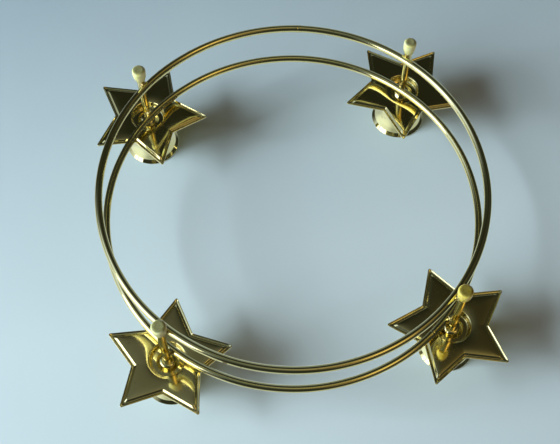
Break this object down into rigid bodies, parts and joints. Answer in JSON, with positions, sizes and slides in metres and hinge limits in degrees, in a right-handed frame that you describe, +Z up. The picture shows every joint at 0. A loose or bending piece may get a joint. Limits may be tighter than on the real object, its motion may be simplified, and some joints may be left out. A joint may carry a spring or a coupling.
{
  "type": "advent candle holder",
  "caption": "Advent candle holder of brass wire rings on capped legs, with pressed star drip trays that carry bell-mouthed candle cups.",
  "frame": {"origin": "on the table under the middle of the rings, between the foot caps", "axes": "+Z up, along the rings' axis and out of the candle cups; the legs stand at 45, 135, 225 and 315 degrees from +X"},
  "size_m": [0.207, 0.2086, 0.0739],
  "materials": {
    "brass": "polished, lightly worn",
    "braze": "rough, as brazed",
    "cap": "translucent, yellowed"
  },
  "bodies": {
    "root": {"lower_ring": "brass", "upper_ring": "brass", "leg_1": "brass", "leg_2": "brass", "leg_3": "brass", "leg_4": "brass", "star_tray_1": "brass", "star_tray_2": "brass", "star_tray_3": "brass", "star_tray_4": "brass", "candle_cup_1": "brass", "candle_cup_2": "brass", "candle_cup_3": "brass", "candle_cup_4": "brass", "leg_washers": "brass", "cup_nuts": "brass", "foot_cap_1": "cap", "foot_cap_2": "cap", "foot_cap_3": "cap", "foot_cap_4": "cap", "braze_joints": "braze"}
  },
  "joints": []
}
